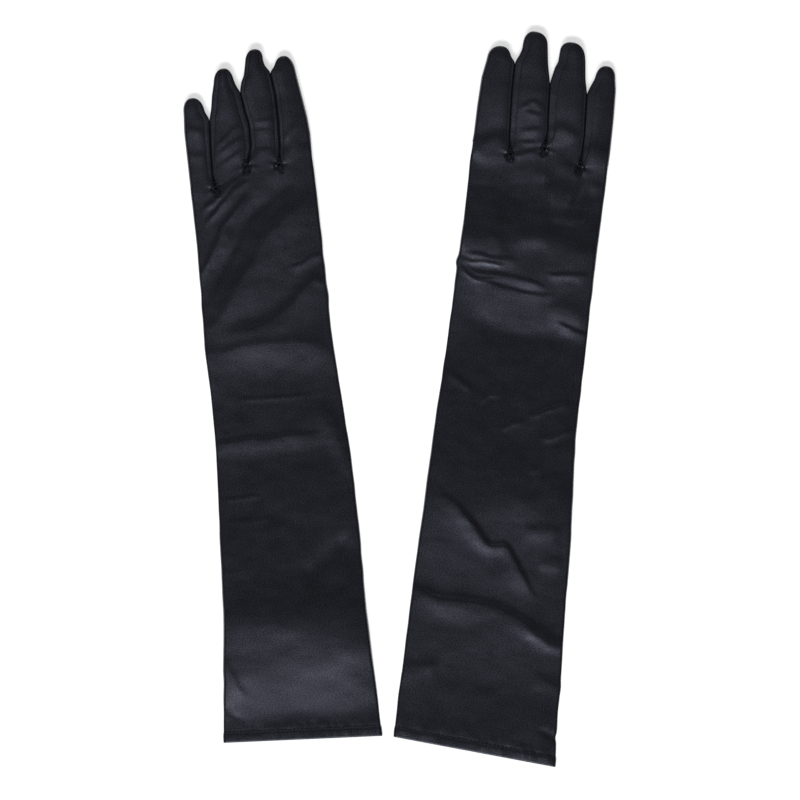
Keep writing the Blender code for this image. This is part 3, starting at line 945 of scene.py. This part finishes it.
# (distance from the cuff's edge, offset from the cloth's face) round the turned hem
HEM_SECTION = [(9.4, -0.75), (8.6, -0.45), (HEM_DEPTH, -0.12), (7.6, 0.18), (6.8, 0.38), (5.4, 0.5),
               (3.2, 0.45), (1.2, 0.4), (0.35, 0.34), (0.08, 0.15), (0.0, -0.15), (0.1, -0.55),
               (0.8, -0.85), (3.0, -0.95), (6.0, -0.95), (9.0, -0.9)]


def build_hem(glove, shape):
    """The cuff's hem: the cloth turned in on itself all round the opening."""
    rings, cloth = [], []
    for from_cuff, offset in HEM_SECTION:
        u, v, z, outward, gap = ring_plan(glove, shape, from_cuff)
        room = np.minimum(1.0, 0.42 * gap / 0.95) if offset < 0 else np.ones_like(gap)
        push = offset * room
        rings.append(np.stack([u + outward[:, 0] * push, v, np.maximum(z + outward[:, 1] * push, 0.05)], -1))
        cloth.append(np.stack([u, v - 2.0 * offset], -1))
    return tube_object(glove, f"{glove.name}_hem", np.array(rings), True, np.array(cloth))


STITCH_LENGTH = 2.1
STITCH_PITCH = 3.1
STITCH_RADIUS = 0.24


def stitch(start, end, radius, sides=8):
    """A short thread from start to end with rounded ends, as (points, faces)."""
    start, end = np.array(start), np.array(end)
    along = (end - start) / np.linalg.norm(end - start)
    side = np.cross(along, (0.0, 0.0, 1.0))
    side /= np.linalg.norm(side)
    up = np.cross(side, along)
    points = []
    stations = [(0.0, 0.25), (0.08, 0.8), (0.3, 1.0), (0.7, 1.0), (0.92, 0.8), (1.0, 0.25)]
    for t, share in stations:
        centre = start + (end - start) * t + up * radius * 1.1 * math.sin(math.pi * t)
        for k in range(sides):
            angle = 2 * math.pi * k / sides
            points.append(centre + radius * share * (side * math.cos(angle) + up * math.sin(angle)))
    faces = tube_faces(len(stations), sides, closed=False, flip=False)
    faces.append(list(range(sides))[::-1])
    faces.append([(len(stations) - 1) * sides + k for k in range(sides)])
    return points, faces


def build_hem_thread(glove, shape):
    """The hem's running stitches, on the top and on the underside."""
    u, v, z, outward, _ = ring_plan(glove, shape, HEM_DEPTH, 240)
    where = np.stack([u, v, z], -1) + np.stack([outward[:, 0], 0 * u, outward[:, 1]], -1) * 0.1
    reach = np.concatenate([[0.0], np.cumsum(np.linalg.norm(np.diff(where, axis=0), axis=1))])
    rng = np.random.default_rng(glove.seed + 20)
    points, faces = [], []
    at = 1.0
    while at + STITCH_LENGTH < reach[-1]:
        ends = []
        length = STITCH_LENGTH * rng.uniform(0.85, 1.1)
        for place in (at, at + length):
            ends.append([np.interp(place, reach, where[:, k]) for k in range(3)])
            ends[-1][1] += rng.uniform(-0.12, 0.12)
        new_points, new_faces = stitch(*to_world(glove, np.array(ends)), STITCH_RADIUS * MM)
        faces += [[i + len(points) for i in f] for f in new_faces]
        points += new_points
        at += STITCH_PITCH * rng.uniform(0.92, 1.08)
    return add_object(f"{glove.name}_hem_stitches", points, faces)


# ---- the tacks at the crotches ---------------------------------------------------------------
# each loop of gathered cloth: (offset in u, offset in v, half width, half length, turn, tube radius)
TACK_LOOPS = [(0.0, -2.0, 2.9, 4.4, 0.15, 0.95), (0.4, -2.6, 1.3, 2.1, -0.5, 0.7),
              (-0.2, 2.9, 1.1, 2.0, 0.1, 0.6)]


def build_tacks(glove, shape):
    """The small gathered knots of cloth and thread that close the fingers' crotches."""
    rng = np.random.default_rng(glove.seed + 40)
    points, faces = [], []
    around, sides = 26, 8
    for cu, cv in glove.base[1:-1]:
        for du, dv, wide, long, turn, radius in TACK_LOOPS:
            turn += rng.uniform(-0.35, 0.35)
            angle = np.linspace(0.0, 2 * math.pi, around, endpoint=False)
            swing = 1.0 + 0.16 * np.sin(3.0 * angle + rng.uniform(0.0, 6.0))
            along_u = wide * np.cos(angle) * swing
            along_v = long * np.sin(angle) * swing
            u = cu + du + along_u * math.cos(turn) - along_v * math.sin(turn)
            v = cv + dv + along_u * math.sin(turn) + along_v * math.cos(turn)
            z = shape.open_height(u, v) - 0.1 + 0.25 * np.cos(2.0 * angle + rng.uniform(0.0, 6.0))
            centre = np.stack([u, v, z], -1)
            ahead = np.roll(centre, -1, axis=0) - np.roll(centre, 1, axis=0)
            ahead /= np.linalg.norm(ahead, axis=1)[:, None]
            out = np.cross(ahead, (0.0, 0.0, 1.0))
            out /= np.linalg.norm(out, axis=1)[:, None]
            up = np.cross(out, ahead)
            faces += tube_faces(around, sides, True, glove.side < 0, first=len(points) * sides)
            thick = radius * (1.0 + 0.2 * np.sin(5.0 * angle + rng.uniform(0.0, 6.0)))
            for i in range(around):
                turns = 2 * math.pi * np.arange(sides)[:, None] / sides
                points.append(centre[i] + thick[i] * (out[i] * np.cos(turns) + up[i] * np.sin(turns)))
    world = to_world(glove, np.concatenate(points))
    return add_object(f"{glove.name}_crotch_tacks", world.tolist(), faces)


# ---- the thumb -------------------------------------------------------------------------------
def build_thumb(glove):
    """The thumb: a flat pouch tucked under the palm, round at its root and its tip."""
    turn = math.radians(THUMB_TURN)
    along = np.array([math.cos(turn), math.sin(turn)])
    across = np.array([along[1], -along[0]])
    root = -THUMB_ROOT_HALF * np.cos(np.linspace(0.0, math.pi / 2, 9)[:-1])
    straight = np.linspace(0.0, THUMB_LENGTH - THUMB_TIP_HALF, 40)
    tip = straight[-1] + THUMB_TIP_HALF * np.sin(np.linspace(0.0, math.pi / 2, 12)[1:])
    stations = np.concatenate([root, straight, tip])
    angles = np.linspace(0.0, 2 * math.pi, 48, endpoint=False)
    rings, cloth = [], []
    for s in stations:
        share = np.clip(s / straight[-1], 0.0, 1.0)
        half = THUMB_ROOT_HALF + (THUMB_TIP_HALF - THUMB_ROOT_HALF) * share
        if s < 0:
            half = math.sqrt(max(THUMB_ROOT_HALF ** 2 - s ** 2, 0.0))
        if s > straight[-1]:
            half *= math.sqrt(max(1.0 - ((s - straight[-1]) / THUMB_TIP_HALF) ** 2, 0.0))
        swell = min(1.0, half / 5.0)
        side = half * np.cos(angles)
        rise = THUMB_HALF_THICK * swell * np.sign(np.sin(angles)) * np.abs(np.sin(angles)) ** 0.7
        wave = 0.12 * swell * np.sin(0.45 * s + 0.3 * side)
        u = glove.thumb[0] + along[0] * s + across[0] * side
        v = glove.thumb[1] + along[1] * s + across[1] * side
        rings.append(np.stack([u, v, THUMB_Z + rise + wave * (np.sin(angles) > 0)], -1))
        cloth.append(np.stack([side + 200.0, s + 0 * side], -1))
    return tube_object(glove, f"{glove.name}_thumb_pouch", np.array(rings), False, np.array(cloth))


# ---- materials -------------------------------------------------------------------------------
def new_material(name):
    """A material with its node tree and its shader."""
    material = bpy.data.materials.new(name)
    material.use_nodes = True
    return material, material.node_tree, material.node_tree.nodes["Principled BSDF"]


def set_values(node, **values):
    """Sets a node's properties by their own names and its inputs by name, with _ for a space."""
    for key, value in values.items():
        if hasattr(node, key):
            setattr(node, key, value)
        else:
            node.inputs[key.replace("_", " ")].default_value = value
    return node


def add_node(tree, kind, **values):
    return set_values(tree.nodes.new(f"ShaderNode{kind}"), **values)


def wire(tree, source, output, target, goal):
    tree.links.new(source.outputs[output], target.inputs[goal])


def add_relief(tree, shader, heights, output, strength, distance):
    """Bumps on the surface from a node's output. The distance is in metres."""
    relief = add_node(tree, "Bump", Strength=strength, Distance=distance)
    wire(tree, heights, output, relief, "Height")
    wire(tree, relief, "Normal", shader, "Normal")


def add_grain(tree, scale, detail):
    """Noise that is fixed to the object."""
    place = add_node(tree, "TexCoord")
    grain = add_node(tree, "TexNoise", Scale=scale, Detail=detail)
    wire(tree, place, "Object", grain, "Vector")
    return grain


COOL_GLINT = (0.75, 0.785, 1.0, 1.0)


def satin(name, dark, light, roughness, bump):
    """Black satin: fine crosswise threads, uneven gloss and a slight cloudiness of colour."""
    material, tree, shader = new_material(name)
    cloth = add_node(tree, "UVMap", uv_map="cloth")
    stretch = add_node(tree, "Mapping", Scale=(1.0, 1.7, 1.0))
    wire(tree, cloth, "UV", stretch, "Vector")
    threads = add_node(tree, "TexNoise", Scale=92.0, Detail=1.5, Roughness=0.5)
    wire(tree, stretch, "Vector", threads, "Vector")
    weave = add_node(tree, "TexWave", wave_type="BANDS", bands_direction="DIAGONAL",
                     Scale=95.0, Distortion=1.2, Detail=2.0)
    wire(tree, cloth, "UV", weave, "Vector")
    clouds = add_node(tree, "TexNoise", Scale=7.0, Detail=5.0, Roughness=0.6)
    wire(tree, stretch, "Vector", clouds, "Vector")
    blend = add_node(tree, "Math", operation="MULTIPLY")
    wire(tree, threads, "Fac", blend, 0)
    wire(tree, clouds, "Fac", blend, 1)
    color = add_node(tree, "ValToRGB")
    color.color_ramp.elements[0].position = 0.12
    color.color_ramp.elements[0].color = (*dark, 1.0)
    color.color_ramp.elements[1].position = 0.42
    color.color_ramp.elements[1].color = (*light, 1.0)
    wire(tree, blend, 0, color, "Fac")
    wire(tree, color, "Color", shader, "Base Color")
    gloss = add_node(tree, "MapRange", From_Min=0.25, From_Max=0.75,
                     To_Min=roughness - 0.03, To_Max=roughness + 0.03)
    wire(tree, clouds, "Fac", gloss, "Value")
    wire(tree, gloss, "Result", shader, "Roughness")
    glint = add_node(tree, "MapRange", From_Min=0.33, From_Max=0.67, To_Min=0.18, To_Max=0.66)
    wire(tree, threads, "Fac", glint, "Value")
    wire(tree, glint, "Result", shader, "Specular IOR Level")
    height = add_node(tree, "Math", operation="MULTIPLY_ADD")
    height.inputs[1].default_value = 0.35
    wire(tree, weave, "Fac", height, 0)
    wire(tree, threads, "Fac", height, 2)
    add_relief(tree, shader, height, 0, bump, 0.0001)
    set_values(shader, Sheen_Weight=0.02, Sheen_Roughness=0.4, Sheen_Tint=(0.75, 0.8, 1.0, 1.0),
               Specular_Tint=COOL_GLINT)
    return material


def thread_material(name, dark, light):
    """Twisted polyester thread, duller than the cloth."""
    material, tree, shader = new_material(name)
    twist = add_grain(tree, 1500.0, 2.0)
    color = add_node(tree, "ValToRGB")
    color.color_ramp.elements[0].color = (*dark, 1.0)
    color.color_ramp.elements[1].color = (*light, 1.0)
    wire(tree, twist, "Fac", color, "Fac")
    wire(tree, color, "Color", shader, "Base Color")
    add_relief(tree, shader, twist, "Fac", 0.4, 0.0002)
    set_values(shader, Roughness=0.5, Specular_IOR_Level=0.2, Specular_Tint=COOL_GLINT)
    return material


BLACK, LIGHTER_BLACK = (0.0045, 0.0044, 0.0062), (0.0088, 0.0088, 0.0116)
SATIN = satin("black_satin", BLACK, LIGHTER_BLACK, roughness=0.34, bump=0.3)
SATIN_SIDE = satin("black_satin_side", (0.0040, 0.0039, 0.0054), (0.0079, 0.0079, 0.0104),
                   roughness=0.36, bump=0.3)
HEM_CLOTH = satin("black_satin_hem", BLACK, LIGHTER_BLACK, roughness=0.36, bump=0.35)
THREAD = thread_material("black_thread", (0.005, 0.0053, 0.008), (0.012, 0.0125, 0.017))
# the crotch tacks' thread is a darker copy of the hem thread: the darkness is painted shade of the gathers
# between the fingers
SHADED_TACK_THREAD = thread_material("black_tack_thread", (0.003, 0.0032, 0.005), (0.007, 0.0074, 0.0105))


# ---- putting each glove together ---------------------------------------------------------------
FLOOR = "floor"
FINGER_NODES = {
    "index": ("back", "front", "fourchette", "fold"),
    "middle": ("back", "front", "fourchette_ring_side", "fourchette_index_side"),
    "ring": ("back", "front", "fourchette_little_side", "fourchette_middle_side"),
    "little": ("back", "front", "seam", "fourchette"),
}


def stands_for(glove, piece, *nodes):
    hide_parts(*[f"{glove.name}_{n}" for n in nodes])


def bend(glove, piece, parent, child, line_v):
    """Bakes the piece's placement into its points; the glove, the two bodies and line_v are not used."""
    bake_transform(piece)


def dress(glove, piece, material, body, slot, *nodes):
    """Gives a piece its material, hangs it on one body and hides the CAD parts it stands for. The slot is not
    used.
    """
    piece.data.materials.append(material)
    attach(piece, f"{glove.name}_{body}")
    if nodes:
        stands_for(glove, piece, *nodes)
    return piece


def flat_width(shape, v):
    """The width of the sleeve's cloth at v, opened out flat, in metres."""
    return 2 * MM * (shape.index_edge(v) - shape.little_edge(v))


def build_glove(glove):
    find_place(glove)
    shape = Shape(glove)
    grids = [FingerGrid(glove, shape, k) for k in range(4)]
    patches = [trunk_patch(glove, shape, grids, face) for face in (TOP, UNDER)]
    patches += [grid.patch(face) for grid in grids for face in (TOP, UNDER)]
    skin = build_skin(glove, patches)
    for piece in skin.values():
        piece.data.materials.append(SATIN)
        piece.data.materials.append(SATIN_SIDE)
    arm = skin[f"{glove.name}_upper_arm"]
    hand = skin[f"{glove.name}_forearm_and_hand"]
    stands_for(glove, arm, "upper_sleeve", "upper_seam")
    stands_for(glove, hand, "forearm_sleeve", "forearm_seam", "hand_back", "hand_palm", "hand_fold",
               "hand_seam")
    bend(glove, arm, "sleeve", "forearm", ELBOW_FROM_CUFF)
    bend(glove, hand, "forearm", "hand", glove.wrist)
    for name, nodes in FINGER_NODES.items():
        finger = skin[f"{glove.name}_{name}_finger"]
        stands_for(glove, finger, *[f"{name}_{n}" for n in nodes])
        bend(glove, finger, "hand", name, glove.knuckle)
    hem = dress(glove, build_hem(glove, shape), HEM_CLOTH, "sleeve", "hem", "cuff_hem")
    thread = dress(glove, build_hem_thread(glove, shape), THREAD, "sleeve", "thread", "hem_thread")
    # the crotch tacks get the darker thread, which is painted shade of the gathers between the fingers
    tacks = dress(glove, build_tacks(glove, shape), SHADED_TACK_THREAD, "hand", "thread")
    thumb = dress(glove, build_thumb(glove), SATIN, "thumb", "satin",
                  "thumb_front", "thumb_back", "thumb_seam")
    flat_width(shape, 100.0)
    flat_width(shape, 320.0)


# ---- the studio --------------------------------------------------------------------------------
# places and sizes in metres; a place is measured from the middle of the gloves
FLOOR_SIZE = 6.0
FLOOR_GLOW = 0.5
SKY_STRENGTH = 0.13
KEY_PLACE, KEY_SIZE, KEY_WATTS = (-1.6, -7.9, 13.8), (7.0, 3.8), 1460.0
FILL_PLACE, FILL_SIZE, FILL_WATTS = (-0.2, 2.1, 2.4), (2.4, 0.8), 13.0
CAMERA_PLACE = (0.0002, -0.0011, 6.75)
CAMERA_LENS = 400.0


def floor_material():
    """Pale paper that glows a little, so that the ground stays white."""
    material, tree, shader = new_material("studio_paper")
    add_relief(tree, shader, add_grain(tree, 900.0, 3.0), "Fac", 0.04, 0.0002)
    set_values(shader, Base_Color=(0.92, 0.92, 0.92, 1.0), Emission_Color=(1.0, 1.0, 1.0, 1.0),
               Emission_Strength=FLOOR_GLOW, Roughness=0.9, Specular_IOR_Level=0.1)
    return material


def add_floor():
    half = FLOOR_SIZE / 2
    corners = [(-half, -half, 0), (half, -half, 0), (half, half, 0), (-half, half, 0)]
    mesh = bpy.data.meshes.new(FLOOR)
    mesh.from_pydata(corners, [], [(0, 1, 2, 3)])
    floor = bpy.data.objects.new(FLOOR, mesh)
    mesh.materials.append(floor_material())
    bpy.context.scene.collection.objects.link(floor)


def add_softbox(name, place, aim, size, watts):
    light = bpy.data.lights.new(name, "AREA")
    light.shape = "RECTANGLE"
    light.size, light.size_y = size
    light.energy = watts
    lamp = bpy.data.objects.new(name, light)
    lamp.location = place
    lamp.rotation_euler = (Vector(aim) - Vector(place)).to_track_quat("-Z", "Y").to_euler()
    bpy.context.scene.collection.objects.link(lamp)


def add_studio():
    low, high = cad_box
    centre = (low + high) / 2
    world = bpy.data.worlds.new("studio")
    bpy.context.scene.world = world
    world.use_nodes = True
    set_values(world.node_tree.nodes["Background"], Color=(0.95, 0.97, 1.0, 1.0), Strength=SKY_STRENGTH)
    above = Vector((centre.x, centre.y, 0.0))
    add_softbox("key", above + Vector(KEY_PLACE), centre, KEY_SIZE, KEY_WATTS)
    add_softbox("fill", above + Vector(FILL_PLACE), centre, FILL_SIZE, FILL_WATTS)
    camera_data = bpy.data.cameras.new("camera")
    camera_data.lens = CAMERA_LENS
    camera = bpy.data.objects.new("camera", camera_data)
    camera.location = above + Vector(CAMERA_PLACE)
    bpy.context.scene.collection.objects.link(camera)
    bpy.context.scene.camera = camera
    bpy.context.scene.view_settings.view_transform = "Standard"
    bpy.context.scene.view_settings.look = "None"


for each in GLOVES:
    build_glove(each)
add_floor()
add_studio()
